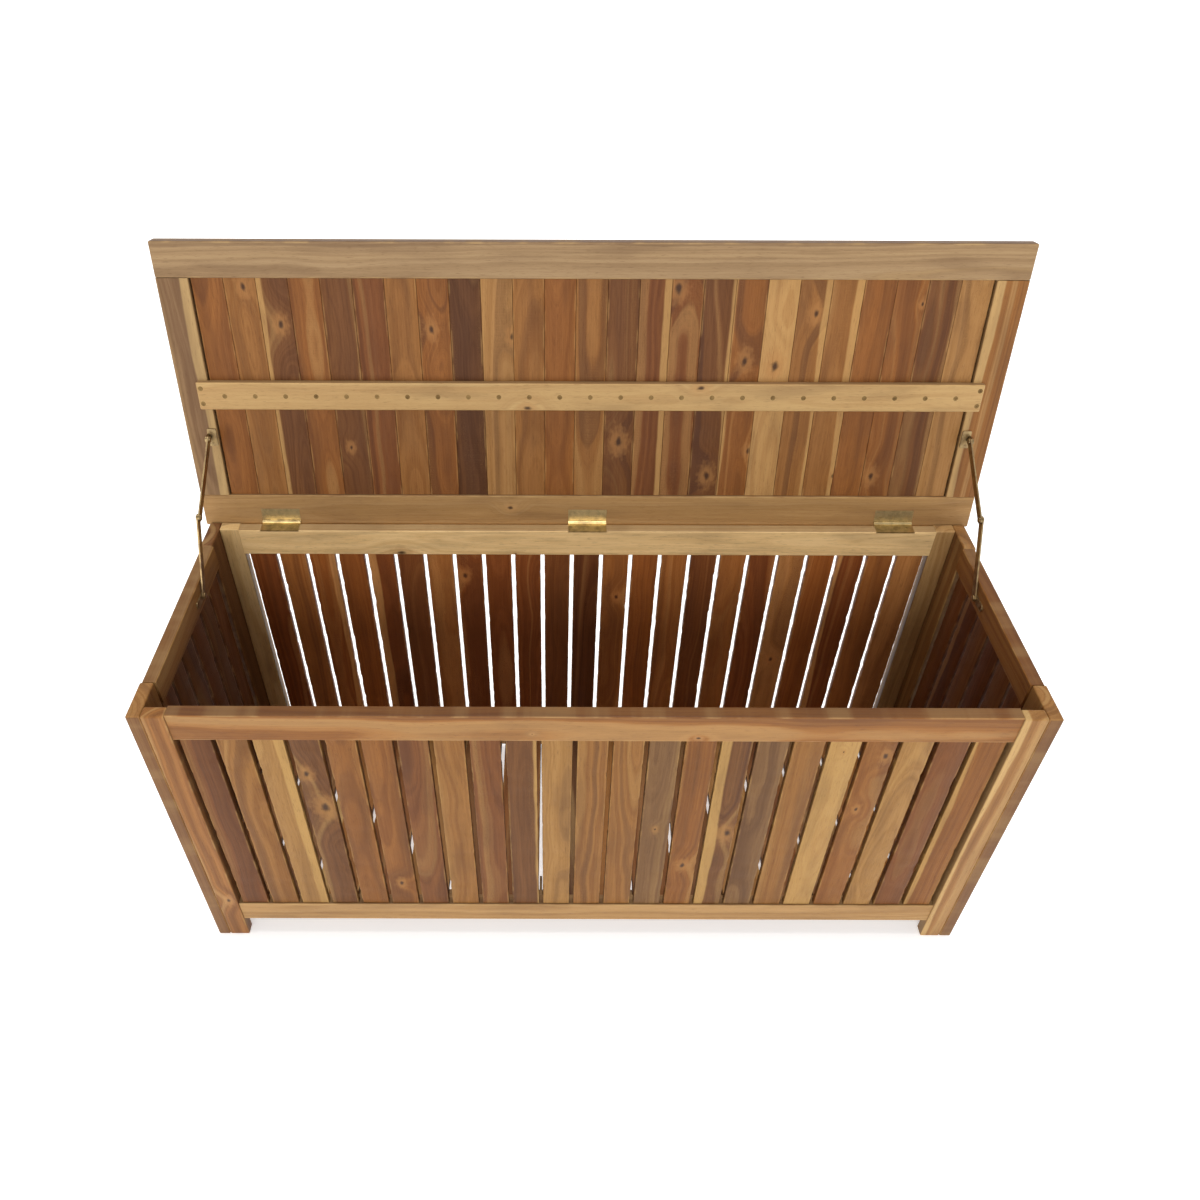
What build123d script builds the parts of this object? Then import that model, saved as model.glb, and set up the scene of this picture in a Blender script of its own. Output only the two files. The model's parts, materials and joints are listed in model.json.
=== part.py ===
from build123d import *
import math
import os

# Deck storage box with a hinged lid, modelled with its lid open. Millimetres, +Z up, front towards -Y.
# The origin is under the middle of the open box's own bounding box, on the ground.

# ---- Overall ----
body_width = 1156
body_depth = 400
body_height = 510
lid_open_angle = 100

# ---- Body frame ----
stile_thickness = 18
side_stile_width = 60
narrow_stile_width = 30
rail_thickness = 18
rail_recess = 2.5
long_top_rail_height = 46
side_top_rail_height = 40
bottom_rail_height = 43
foot_height = 41
stile_ease = 2.5
rail_ease = 2
tenon_thickness = 8
tenon_shoulder = 7
tenon_wall = 9

# ---- Slats ----
slat_thickness = 10
slat_recess = 5
slat_gap = 5.8
slat_tongue = 10
slat_ease = 1.2
long_slat_count = 23
side_slat_count = 6

# ---- Floor ----
cleat_size = 22
floor_board_thickness = 12
floor_board_count = 16
floor_gap = 6
floor_ease = 1.5
floor_clearance = 1
cleat_screw_count = 8

# ---- Lid ----
lid_thickness = 20
lid_side_overhang = 7
lid_front_overhang = 7
lid_gap = 1.2
lid_rear_overlap = 6
lid_front_rail_width = 47
lid_rear_rail_width = 50.5
lid_stile_width = 44
lid_tenon_length = 24
lid_ease = 2.5
plank_count = 25
plank_thickness = 14
plank_recess = 4
plank_gap = 0.4
plank_side_gap = 2
plank_tongue = 8
plank_bevel = 0.9
batten_width = 40
batten_thickness = 12
batten_end_clearance = 1.5
batten_screw_inset = 6
batten_screw_spread = 11

# ---- Hinges ----
hinge_length = 58
hinge_inset = 110
hinge_leaf_thickness = 1.8
hinge_barrel_radius = 3
hinge_pin_radius = 1.5
hinge_pin_offset = 3.5
hinge_knuckle_count = 5
hinge_knuckle_gap = 0.2
hinge_relief = 0.3
hinge_screw_spacing = 20
hinge_screw_reach = 10.5

# ---- Folding lid stays: places are given forward of the hinge pin and below or off it ----
stay_strip_width = 11
stay_strip_thickness = 2
stay_layer_gap = 0.3
stay_lower_forward = 145
stay_lower_drop = 24
stay_upper_along = 137
stay_upper_offset = 9
stay_lower_length = 112
stay_upper_length = 122
stay_bracket_length = 22
stay_rivet_radius = 2.2
stay_head_radius = 4.2
stay_head_height = 1.5
stay_head_round = 0.9
stay_pivot_depth = 10
stay_foot_length = 26
stay_foot_width = 13
stay_foot_screw_spread = 8

# ---- Screws: head radius, shank radius, length ----
small_screw = (2.8, 1.3, 14)
medium_screw = (3.4, 1.6, 20)
long_screw = (4, 1.9, 30)
screw_slot_width = 0.9
screw_slot_reach = 1.3

# ---- Fits ----
fit = 0.1
pivot_fit = 0.08
screw_fit = 0.05
end_room = 1

# ---- Places worked out from the sizes ----
rail_inner = rail_recess + rail_thickness
side_rail_inner_x = body_width / 2 - rail_inner
long_rail_inner_y = body_depth / 2 - rail_inner
pin_y = body_depth / 2 - rail_recess + hinge_pin_offset
pin_z = body_height + lid_gap / 2
lid_underside = body_height + lid_gap
lid_top = lid_underside + lid_thickness
lid_rear_y = pin_y + lid_rear_overlap
lid_front_y = -body_depth / 2 - lid_front_overhang
lid_half_width = body_width / 2 + lid_side_overhang
hinge_axis = Axis((0, pin_y, pin_z), (1, 0, 0))
hinge_places = [-body_width / 2 + hinge_inset, 0, body_width / 2 - hinge_inset]

nodes = {}


def block(x0, x1, y0, y1, z0, z1):
    """A box given by its lowest and highest corners."""
    middle = Pos((x0 + x1) / 2, (y0 + y1) / 2, (z0 + z1) / 2)
    return middle * Box(x1 - x0, y1 - y0, z1 - z0)


def eased(shape, radius, axis=None):
    """Round a board's edges, all of them or only those along one axis."""
    edges = shape.edges() if axis is None else shape.edges().filter_by(axis)
    return fillet(edges, radius)


def spread(count, first, last):
    """Evenly spaced places from first to last."""
    return [first + (last - first) * i / (count - 1) for i in range(count)]


# ---- Screws ----
def screw(kind):
    """A countersunk screw with a cross slot, its head at z = 0 and its point down."""
    head_radius, shank_radius, length = kind
    head_depth = head_radius - shank_radius
    head = Pos(0, 0, -head_depth / 2) * Cone(shank_radius, head_radius, head_depth)
    shank = Pos(0, 0, -(head_depth + length) / 2) * Cylinder(shank_radius, length - head_depth)
    slot = Box(screw_slot_reach * head_radius, screw_slot_width, head_depth)
    return head + shank - [slot, Rot(0, 0, 90) * slot]


def screw_hole(kind):
    """The room that a screw needs, with its fit."""
    head_radius, shank_radius, length = kind
    head_depth = head_radius - shank_radius
    head = Cone(shank_radius + screw_fit, head_radius + screw_fit, head_depth)
    shank = Cylinder(shank_radius + screw_fit, length - head_depth + screw_fit)
    return Pos(0, 0, -head_depth / 2) * head + Pos(0, 0, -(head_depth + length + screw_fit) / 2) * shank


def screws_at(kind, places):
    """A list of screws of one kind at the given places."""
    master = screw(kind)
    return [place * master for place in places]


def drill(names, kind, places):
    """Cut the screws' holes in the named nodes."""
    master = screw_hole(kind)
    holes = [place * master for place in places]
    for name in names:
        nodes[name] = nodes[name] - holes


# ---- Body sides ----
def body_side(names, turn, reach, face, stile_width, top_height, slat_count):
    """One side of the body: two stiles, two rails and a row of slats.

    It is built facing -Y, from -reach to reach along X, with its outer face at -face, then turned about Z.
    """
    opening = reach - stile_width
    tenon_length = stile_width - tenon_wall
    stile_y = (-face, -face + stile_thickness)
    rail_y = (-face + rail_recess, -face + rail_inner)
    tenon_middle = (rail_y[0] + stile_y[1]) / 2
    slat_y = (-face + slat_recess, -face + slat_recess + slat_thickness)
    rail_z = {
        "top": (body_height - top_height, body_height),
        "bottom": (foot_height, foot_height + bottom_rail_height),
    }

    def rail_core(level, room, past):
        """The tenons of one rail as one bar, with room round it and past its ends."""
        low, high = rail_z[level]
        half = tenon_thickness / 2 + room
        end = opening + tenon_length + past
        return block(-end, end, tenon_middle - half, tenon_middle + half,
                     low + tenon_shoulder - room, high - tenon_shoulder + room)

    sockets = [rail_core("top", fit, end_room), rail_core("bottom", fit, end_room)]
    for side, name in zip((-1, 1), names["stiles"]):
        x0, x1 = sorted((side * opening, side * reach))
        stile = eased(block(x0, x1, *stile_y, 0, body_height), stile_ease)
        nodes[name] = turn * (stile - sockets)

    slat_width = (2 * opening - (slat_count + 1) * slat_gap) / slat_count
    first = -opening + slat_gap + slat_width / 2
    slat_places = spread(slat_count, first, -first)
    slat_z = (rail_z["bottom"][1] - slat_tongue, rail_z["top"][0] + slat_tongue)
    slat = eased(block(-slat_width / 2, slat_width / 2, *slat_y, *slat_z), slat_ease, Axis.Z)
    slot = block(-slat_width / 2 - fit, slat_width / 2 + fit, slat_y[0] - fit, slat_y[1] + fit,
                 slat_z[0], slat_z[1] + end_room)
    slots = [Pos(x, 0, 0) * slot for x in slat_places]

    for level in rail_z:
        rail = eased(block(-opening, opening, *rail_y, *rail_z[level]), rail_ease, Axis.X)
        nodes[names[level]] = turn * (rail + rail_core(level, 0, 0) - slots)
    nodes[names["slats"]] = turn * Compound([Pos(x, 0, 0) * slat for x in slat_places])


long_reach = body_width / 2 - stile_thickness
side_reach = body_depth / 2
for label, angle, stile_labels in [
    ("front", 0, ("left", "right")),
    ("back", 180, ("right", "left")),
    ("left", -90, ("back", "front")),
    ("right", 90, ("front", "back")),
]:
    is_long = label in ("front", "back")
    node_names = {
        "stiles": [f"{label}_{end}_stile" for end in stile_labels],
        "top": f"{label}_top_rail",
        "bottom": f"{label}_bottom_rail",
        "slats": f"{label}_slats",
    }
    body_side(
        node_names,
        Rot(0, 0, angle),
        long_reach if is_long else side_reach,
        body_depth / 2 if is_long else body_width / 2,
        narrow_stile_width if is_long else side_stile_width,
        long_top_rail_height if is_long else side_top_rail_height,
        long_slat_count if is_long else side_slat_count,
    )

# ---- Floor ----
floor_half_width = side_rail_inner_x - floor_clearance
floor_half_depth = long_rail_inner_y - floor_clearance
cleat_top = foot_height + cleat_size
for name, side in (("front_cleat", -1), ("back_cleat", 1)):
    y0, y1 = sorted((side * long_rail_inner_y, side * (long_rail_inner_y - cleat_size)))
    cleat = block(-floor_half_width, floor_half_width, y0, y1, foot_height, cleat_top)
    nodes[name] = eased(cleat, floor_ease, Axis.X)

board_width = (2 * floor_half_width - (floor_board_count - 1) * floor_gap) / floor_board_count
board_first = -floor_half_width + board_width / 2
board = eased(
    block(-board_width / 2, board_width / 2, -floor_half_depth, floor_half_depth,
          cleat_top, cleat_top + floor_board_thickness),
    floor_ease, Axis.Y)
board_places = spread(floor_board_count, board_first, -board_first)
nodes["floor_boards"] = Compound([Pos(x, 0, 0) * board for x in board_places])

cleat_middle_y = long_rail_inner_y - cleat_size / 2
board_screw_places = [
    Pos(x, side * cleat_middle_y, cleat_top + floor_board_thickness)
    for x in board_places for side in (-1, 1)
]
half_pitch = (board_width + floor_gap) / 2
cleat_screw_places = [
    Pos(x, side * (long_rail_inner_y - cleat_size), foot_height + cleat_size / 2) * Rot(-side * 90, 0, 0)
    for x in spread(cleat_screw_count, board_first + half_pitch, -board_first - half_pitch)
    for side in (-1, 1)
]
drill(["floor_boards", "front_cleat", "back_cleat"], medium_screw, board_screw_places)
drill(["front_cleat", "back_cleat", "front_bottom_rail", "back_bottom_rail"], long_screw, cleat_screw_places)
nodes["floor_screws"] = Compound(
    screws_at(medium_screw, board_screw_places) + screws_at(long_screw, cleat_screw_places))

# ---- Lid, built closed ----
lid_nodes = []


def lid_node(name, shape):
    """Keep one piece of the lid and remember that it turns with the lid."""
    nodes[name] = shape
    lid_nodes.append(name)


lid_opening_x = lid_half_width - lid_stile_width
lid_opening_y = (lid_front_y + lid_front_rail_width, lid_rear_y - lid_rear_rail_width)
lid_middle_y = (lid_front_y + lid_rear_y) / 2
lid_middle_z = (lid_underside + lid_top) / 2
plank_z = (lid_underside + plank_recess, lid_underside + plank_recess + plank_thickness)


def lid_tenon_bar(side, room, past):
    """The two tenons of one lid stile as one bar, with room round it and past its ends."""
    x0, x1 = sorted((side * lid_opening_x, side * lid_half_width))
    half = tenon_thickness / 2 + room
    return block(x0 + tenon_shoulder - room, x1 - tenon_shoulder + room,
                 lid_opening_y[0] - lid_tenon_length - past, lid_opening_y[1] + lid_tenon_length + past,
                 lid_middle_z - half, lid_middle_z + half)


plank_groove = block(-lid_opening_x, lid_opening_x,
                     lid_opening_y[0] - plank_tongue - end_room, lid_opening_y[1] + plank_tongue + end_room,
                     plank_z[0] - fit, plank_z[1] + fit)
lid_sockets = [lid_tenon_bar(side, fit, end_room) for side in (-1, 1)] + [plank_groove]
for name, y0, y1 in (
    ("lid_front_rail", lid_front_y, lid_opening_y[0]),
    ("lid_rear_rail", lid_opening_y[1], lid_rear_y),
):
    rail = eased(block(-lid_half_width, lid_half_width, y0, y1, lid_underside, lid_top), lid_ease)
    lid_node(name, rail - lid_sockets)

for name, side in (("lid_left_stile", -1), ("lid_right_stile", 1)):
    x0, x1 = sorted((side * lid_opening_x, side * lid_half_width))
    stile = eased(block(x0, x1, *lid_opening_y, lid_underside, lid_top), lid_ease, Axis.Y)
    lid_node(name, stile + lid_tenon_bar(side, 0, 0))

plank_room = 2 * (lid_opening_x - plank_side_gap)
plank_width = (plank_room - (plank_count - 1) * plank_gap) / plank_count
plank = block(-plank_width / 2, plank_width / 2,
              lid_opening_y[0] - plank_tongue, lid_opening_y[1] + plank_tongue, *plank_z)
plank = chamfer(plank.edges().filter_by(Axis.Y), plank_bevel)
plank_first = -plank_room / 2 + plank_width / 2
plank_places = spread(plank_count, plank_first, -plank_first)
lid_node("lid_planks", Compound([Pos(x, 0, 0) * plank for x in plank_places]))

batten_half_length = side_rail_inner_x - batten_end_clearance
batten_face = plank_z[0] - batten_thickness
batten = eased(
    block(-batten_half_length, batten_half_length,
          lid_middle_y - batten_width / 2, lid_middle_y + batten_width / 2, batten_face, plank_z[0]),
    rail_ease)
for side in (-1, 1):
    x0, x1 = sorted((side * (lid_opening_x - fit), side * lid_half_width))
    batten = batten - block(x0, x1, lid_middle_y - batten_width, lid_middle_y + batten_width,
                            lid_underside, lid_top)
lid_node("lid_batten", batten)

upwards = Rot(180, 0, 0)
batten_screw_places = [Pos(x, lid_middle_y, batten_face) * upwards for x in plank_places]
batten_end_screw_places = [
    Pos(x_side * (batten_half_length - batten_screw_inset), lid_middle_y + y_side * batten_screw_spread,
        batten_face) * upwards
    for x_side in (-1, 1) for y_side in (-1, 1)
]
drill(["lid_batten", "lid_planks"], medium_screw, batten_screw_places)
drill(["lid_batten", "lid_left_stile", "lid_right_stile"], medium_screw, batten_end_screw_places)
lid_node("batten_screws", Compound(screws_at(medium_screw, batten_screw_places + batten_end_screw_places)))

# ---- Hinges, built closed ----
leaf_inner_y = long_rail_inner_y
knuckle_length = hinge_length / hinge_knuckle_count
along_x = Rot(0, 90, 0)
pin_middle = Pos(0, pin_y, pin_z)


def hinge_leaf(z0, z1, knuckles):
    """A leaf between two heights with its own knuckles, about the middle of the hinge."""
    leaf = block(-hinge_length / 2, hinge_length / 2, leaf_inner_y, pin_y, z0, z1)
    knuckle = Cylinder(hinge_barrel_radius, knuckle_length - hinge_knuckle_gap)
    room = Cylinder(hinge_barrel_radius + fit, knuckle_length + hinge_knuckle_gap)
    for i in range(hinge_knuckle_count):
        place = Pos((i + 0.5) * knuckle_length - hinge_length / 2, 0, 0) * pin_middle * along_x
        leaf = leaf + place * knuckle if i in knuckles else leaf - place * room
    return leaf - pin_middle * along_x * Cylinder(hinge_pin_radius + pivot_fit, 2 * hinge_length)


base_leaf_z = (body_height - hinge_leaf_thickness, body_height)
lid_leaf_z = (lid_underside, lid_underside + hinge_leaf_thickness)
base_leaf = hinge_leaf(*base_leaf_z, range(0, hinge_knuckle_count, 2))
lid_leaf = hinge_leaf(*lid_leaf_z, range(1, hinge_knuckle_count, 2))
hinge_pin = pin_middle * along_x * Cylinder(hinge_pin_radius, hinge_length)
barrel_relief = pin_middle * along_x * Cylinder(hinge_barrel_radius + hinge_relief, hinge_length + 2 * fit)
leaf_relief = [
    block(-hinge_length / 2 - fit, hinge_length / 2 + fit, leaf_inner_y - fit, body_depth, *leaf_z)
    for leaf_z in (base_leaf_z, lid_leaf_z)
]
base_screw_places = []
lid_screw_places = []
screw_y = pin_y - hinge_screw_reach
for label, x in zip(("left", "middle", "right"), hinge_places):
    shift = Pos(x, 0, 0)
    nodes["back_top_rail"] = nodes["back_top_rail"] - [shift * barrel_relief, shift * leaf_relief[0]]
    nodes["lid_rear_rail"] = nodes["lid_rear_rail"] - [shift * barrel_relief, shift * leaf_relief[1]]
    nodes[f"{label}_hinge_base_leaf"] = shift * base_leaf
    lid_node(f"{label}_hinge_lid_leaf", shift * lid_leaf)
    nodes[f"{label}_hinge_pin"] = shift * hinge_pin
    for offset in (-hinge_screw_spacing, 0, hinge_screw_spacing):
        base_screw_places.append(Pos(x + offset, screw_y, body_height))
        lid_screw_places.append(Pos(x + offset, screw_y, lid_underside) * upwards)
base_leaf_names = [f"{label}_hinge_base_leaf" for label in ("left", "middle", "right")]
lid_leaf_names = [f"{label}_hinge_lid_leaf" for label in ("left", "middle", "right")]
drill(base_leaf_names + ["back_top_rail"], small_screw, base_screw_places)
drill(lid_leaf_names + ["lid_rear_rail"], small_screw, lid_screw_places)
nodes["hinge_base_screws"] = Compound(screws_at(small_screw, base_screw_places))
lid_node("hinge_lid_screws", Compound(screws_at(small_screw, lid_screw_places)))

# ---- Folding stays, built for the right side and mirrored ----
layer = stay_strip_thickness + stay_layer_gap
bracket_x = side_rail_inner_x - stay_strip_thickness
lower_arm_x = bracket_x - layer
upper_arm_x = lower_arm_x - layer


def turned(y, z, degrees):
    """A place turned about the hinge pin, positive closing the lid."""
    angle = math.radians(degrees)
    dy = y - pin_y
    dz = z - pin_z
    return (pin_y + dy * math.cos(angle) - dz * math.sin(angle),
            pin_z + dy * math.sin(angle) + dz * math.cos(angle))


def elbow(lower, upper):
    """Where the arms meet, on the front side of the line from the lower to the upper pivot."""
    dy = upper[0] - lower[0]
    dz = upper[1] - lower[1]
    span = math.hypot(dy, dz)
    along = (stay_lower_length ** 2 - stay_upper_length ** 2 + span ** 2) / (2 * span)
    off = math.sqrt(stay_lower_length ** 2 - along ** 2)
    return (lower[0] + (along * dy - off * dz) / span,
            lower[1] + (along * dz + off * dy) / span)


def strip(start, end, x0):
    """A flat bar with round ends between two places, with a rivet hole at each."""
    length = math.hypot(end[0] - start[0], end[1] - start[1])
    angle = math.degrees(math.atan2(end[1] - start[1], end[0] - start[0]))
    middle = Pos((start[0] + end[0]) / 2, (start[1] + end[1]) / 2)
    outline = middle * Rot(0, 0, angle) * SlotCenterToCenter(length, stay_strip_width)
    holes = [Pos(*place) * Circle(stay_rivet_radius + pivot_fit) for place in (start, end)]
    return extrude(Plane.YZ.offset(x0) * (outline - holes), stay_strip_thickness)


def rivet(place, x0, x1, head_inside, head_outside):
    """A rivet shank from x0 to x1 along X with the heads that are asked for."""
    shank = extrude(Plane.YZ.offset(x0) * Pos(*place) * Circle(stay_rivet_radius), x1 - x0)
    head_profile = Pos(*place) * Circle(stay_head_radius)
    if head_inside:
        head = extrude(Plane.YZ.offset(x0 - stay_head_height) * head_profile, stay_head_height)
        shank = shank + fillet(head.faces().sort_by(Axis.X)[0].edges(), stay_head_round)
    if head_outside:
        head = extrude(Plane.YZ.offset(x1) * head_profile, stay_head_height)
        shank = shank + fillet(head.faces().sort_by(Axis.X)[-1].edges(), stay_head_round)
    return shank


upper_closed = (pin_y - stay_upper_along, pin_z - stay_upper_offset)
lower_pivot = (pin_y - stay_lower_forward, pin_z - stay_lower_drop)
upper_pivot = turned(*upper_closed, -lid_open_angle)
middle_pivot = elbow(lower_pivot, upper_pivot)
bracket_screw = (lower_pivot[0] - stay_bracket_length, lower_pivot[1])

box_bracket = strip(lower_pivot, bracket_screw, bracket_x)
lower_arm = strip(lower_pivot, middle_pivot, lower_arm_x)
upper_arm = strip(middle_pivot, upper_pivot, upper_arm_x)
lower_rivet = rivet(lower_pivot, lower_arm_x - fit, side_rail_inner_x + stay_pivot_depth, True, False)
middle_rivet = rivet(middle_pivot, lower_arm_x, lower_arm_x + stay_strip_thickness, False, True)
middle_cap = rivet(middle_pivot, upper_arm_x, upper_arm_x + stay_strip_thickness, True, False)

ear = strip(upper_closed, (upper_closed[0], lid_underside), lower_arm_x)
ear = ear - block(0, body_width, -body_depth, body_depth, lid_underside - stay_strip_thickness, lid_top)
foot_x = lower_arm_x + stay_strip_thickness
foot = block(foot_x - stay_foot_width, foot_x,
             upper_closed[0] - stay_foot_length / 2, upper_closed[0] + stay_foot_length / 2,
             lid_underside - stay_strip_thickness, lid_underside)
foot = eased(foot, stay_strip_thickness, Axis.Z)
upper_rivet = rivet(upper_closed, upper_arm_x - fit, lower_arm_x + stay_strip_thickness, True, True)

bracket_screw_places = [Pos(bracket_x, *bracket_screw) * Rot(0, -90, 0)]
foot_screw_x = foot_x - stay_strip_thickness - small_screw[0] - stay_head_height
foot_screw_places = [
    Pos(foot_screw_x, upper_closed[0] + y_offset, lid_underside - stay_strip_thickness) * upwards
    for y_offset in (-stay_foot_screw_spread, stay_foot_screw_spread)
]
right_stay = {
    "box_bracket": box_bracket - [place * screw_hole(small_screw) for place in bracket_screw_places],
    "lower_arm": lower_arm,
    "upper_arm": upper_arm,
    "lower_rivet": lower_rivet,
    "middle_rivet": middle_rivet,
    "middle_cap": middle_cap,
}
right_stay_on_lid = {
    "lid_bracket": (ear + foot) - [place * screw_hole(small_screw) for place in foot_screw_places],
    "upper_rivet": upper_rivet,
}
pivot_hole = extrude(
    Plane.YZ.offset(side_rail_inner_x) * Pos(*lower_pivot) * Circle(stay_rivet_radius + pivot_fit),
    stay_pivot_depth + fit)
rail_cuts = [pivot_hole] + [place * screw_hole(small_screw) for place in bracket_screw_places]
stile_cuts = [place * screw_hole(small_screw) for place in foot_screw_places]


def on_side(label, shape):
    """The right side's shape as it is, or its mirror image for the left side."""
    return shape if label == "right" else mirror(shape, about=Plane.YZ)


for label in ("left", "right"):
    for name, shape in right_stay.items():
        nodes[f"{label}_stay_{name}"] = on_side(label, shape)
    for name, shape in right_stay_on_lid.items():
        lid_node(f"{label}_stay_{name}", on_side(label, shape))
    rail_name = f"{label}_top_rail"
    stile_name = f"lid_{label}_stile"
    nodes[rail_name] = nodes[rail_name] - [on_side(label, cut) for cut in rail_cuts]
    nodes[stile_name] = nodes[stile_name] - [on_side(label, cut) for cut in stile_cuts]

stay_box_screws = screws_at(small_screw, bracket_screw_places)
stay_lid_screws = screws_at(small_screw, foot_screw_places)
nodes["stay_box_screws"] = Compound(
    [on_side(label, s) for label in ("left", "right") for s in stay_box_screws])
lid_node("stay_lid_screws",
         Compound([on_side(label, s) for label in ("left", "right") for s in stay_lid_screws]))

# ---- Open the lid, centre the whole and write each node ----
for name in lid_nodes:
    nodes[name] = nodes[name].rotate(hinge_axis, -lid_open_angle)
whole = Compound(list(nodes.values())).bounding_box()
origin_y = (whole.min.Y + whole.max.Y) / 2
os.makedirs("parts", exist_ok=True)
for name, shape in nodes.items():
    export_step(Pos(0, -origin_y, 0) * shape, f"parts/{name}.step")
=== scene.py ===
import json
import logging
import math
from dataclasses import dataclass, field
from enum import Enum
from typing import Callable, Optional, Union

import bmesh
import bpy
from mathutils import Matrix, Vector, noise


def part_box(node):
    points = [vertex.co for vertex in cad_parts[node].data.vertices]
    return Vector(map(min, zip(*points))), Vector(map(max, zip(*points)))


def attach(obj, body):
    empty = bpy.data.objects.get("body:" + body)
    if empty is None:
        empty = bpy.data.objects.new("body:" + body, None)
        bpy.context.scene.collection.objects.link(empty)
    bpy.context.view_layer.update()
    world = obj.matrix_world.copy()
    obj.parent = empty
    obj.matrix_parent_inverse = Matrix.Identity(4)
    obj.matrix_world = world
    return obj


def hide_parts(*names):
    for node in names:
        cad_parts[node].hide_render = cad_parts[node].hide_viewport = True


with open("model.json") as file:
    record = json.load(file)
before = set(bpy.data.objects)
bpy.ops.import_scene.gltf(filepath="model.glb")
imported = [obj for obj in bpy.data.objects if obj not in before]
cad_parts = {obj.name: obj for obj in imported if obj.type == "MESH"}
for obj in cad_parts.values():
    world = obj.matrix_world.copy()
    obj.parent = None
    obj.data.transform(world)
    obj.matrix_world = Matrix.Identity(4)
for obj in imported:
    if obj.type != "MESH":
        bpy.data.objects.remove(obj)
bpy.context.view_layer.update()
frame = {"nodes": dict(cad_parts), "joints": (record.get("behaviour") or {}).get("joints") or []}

LOG = logging.getLogger("deck_box")
Colour = tuple[float, float, float]


# ---------------------------------------------------------------- shader maths

class Value:
    """A shader output that can be added, subtracted, multiplied and divided like a number."""

    def __init__(self, shader: "Shader", socket: bpy.types.NodeSocket) -> None:
        """Wrap one output socket of one shader."""
        self.shader = shader
        self.socket = socket

    def _math(self, operation: str, *terms: "Term") -> "Value":
        """Run one Math operation on the given terms."""
        return self.shader.node("ShaderNodeMath", {"operation": operation}, dict(enumerate(terms)))

    def __add__(self, other: "Term") -> "Value":
        """Self plus other."""
        return self._math("ADD", self, other)

    def __sub__(self, other: "Term") -> "Value":
        """Self minus other."""
        return self._math("SUBTRACT", self, other)

    def __rsub__(self, other: "Term") -> "Value":
        """Other minus self."""
        return self._math("SUBTRACT", other, self)

    def __mul__(self, other: "Term") -> "Value":
        """Self times other."""
        return self._math("MULTIPLY", self, other)

    def __truediv__(self, other: "Term") -> "Value":
        """Self divided by other."""
        return self._math("DIVIDE", self, other)

    __radd__ = __add__
    __rmul__ = __mul__

    def size(self) -> "Value":
        """Self without its sign."""
        return self._math("ABSOLUTE", self)

    def length(self) -> "Value":
        """The length of a vector."""
        return self.shader.node("ShaderNodeVectorMath", {"operation": "LENGTH"}, {0: self}, out="Value")

    def parts(self) -> tuple["Value", "Value", "Value"]:
        """The three numbers of a vector."""
        first = self.shader.node("ShaderNodeSeparateXYZ", None, {0: self})
        x, y, z = (Value(self.shader, socket) for socket in first.socket.node.outputs)
        return x, y, z

    def rise(self, low: float, high: float) -> "Value":
        """A smooth step from zero at low to one at high."""
        settings = {"interpolation_type": "SMOOTHSTEP"}
        return self.shader.node("ShaderNodeMapRange", settings, {0: self, 1: low, 2: high})


Term = Union[Value, float]


class Shader:
    """The node tree of one material or world, with a single way to add a node."""

    def __init__(self, owner: Union[bpy.types.Material, bpy.types.World]) -> None:
        """Start with an empty tree."""
        self.owner = owner
        self.owner.use_nodes = True
        self.tree = self.owner.node_tree
        self.tree.nodes.clear()

    @classmethod
    def named(cls, name: str) -> "Shader":
        """Start a new material."""
        return cls(bpy.data.materials.new(name))

    def node(self, kind: str, settings: Optional[dict] = None, values: Optional[dict] = None,
             out: Union[int, str] = 0) -> Value:
        """Add a node.

        Args:
            kind: the node's type.
            settings: the node's properties, set before any socket.
            values: socket name or number to a Value or a constant.
            out: the output socket to wrap.

        Returns:
            The chosen output.
        """
        node = self.tree.nodes.new(kind)
        for key, setting in (settings or {}).items():
            setattr(node, key, setting)
        for key, value in (values or {}).items():
            if isinstance(value, Value):
                self.tree.links.new(value.socket, node.inputs[key])
            else:
                node.inputs[key].default_value = value
        return Value(self, node.outputs[out])

    def blend(self, factor: Term, first: Union[Value, Colour], second: Union[Value, Colour],
              mode: str = "MIX") -> Value:
        """Mix two colours by a factor."""
        ends = [end if isinstance(end, Value) else (*end, 1.0) for end in (first, second)]
        settings = {"data_type": "RGBA", "blend_type": mode}
        return self.node("ShaderNodeMix", settings, {0: factor, 6: ends[0], 7: ends[1]}, out=2)

    def vector(self, x: Term, y: Term, z: Term) -> Value:
        """Join three numbers into a vector."""
        return self.node("ShaderNodeCombineXYZ", None, {0: x, 1: y, 2: z})

    def noise(self, at: Value, detail: float = 3.0, roughness: float = 0.5) -> Value:
        """Noise between about zero and one, one wave long per unit of the vector."""
        return self.node("ShaderNodeTexNoise", None,
                         {"Vector": at, "Scale": 1.0, "Detail": detail, "Roughness": roughness})

    def stripes(self, at: Value, detail: float, roughness: float) -> Value:
        """Noise along one line only, so that equal places have equal shade."""
        return self.node("ShaderNodeTexNoise", {"noise_dimensions": "1D"},
                         {"W": at, "Scale": 1.0, "Detail": detail, "Roughness": roughness})

    def bump(self, height: Value, strength: float, distance: float) -> Value:
        """A bumped normal from a height."""
        return self.node("ShaderNodeBump", None,
                         {"Height": height, "Strength": strength, "Distance": distance})

    def surface(self, **values: Union[Value, float, tuple]) -> bpy.types.Material:
        """Close the tree with a Principled shader and return the material."""
        named = {key.replace("_", " "): value for key, value in values.items()}
        face = self.node("ShaderNodeBsdfPrincipled", None, named)
        self.show(face, "ShaderNodeOutputMaterial")
        return self.owner

    def show(self, face: Value, kind: str) -> None:
        """Link a shader to an output of the given kind."""
        output = self.tree.nodes.new(kind)
        self.tree.links.new(face.socket, output.inputs["Surface"])


# ---------------------------------------------------------------- finishes

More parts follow.
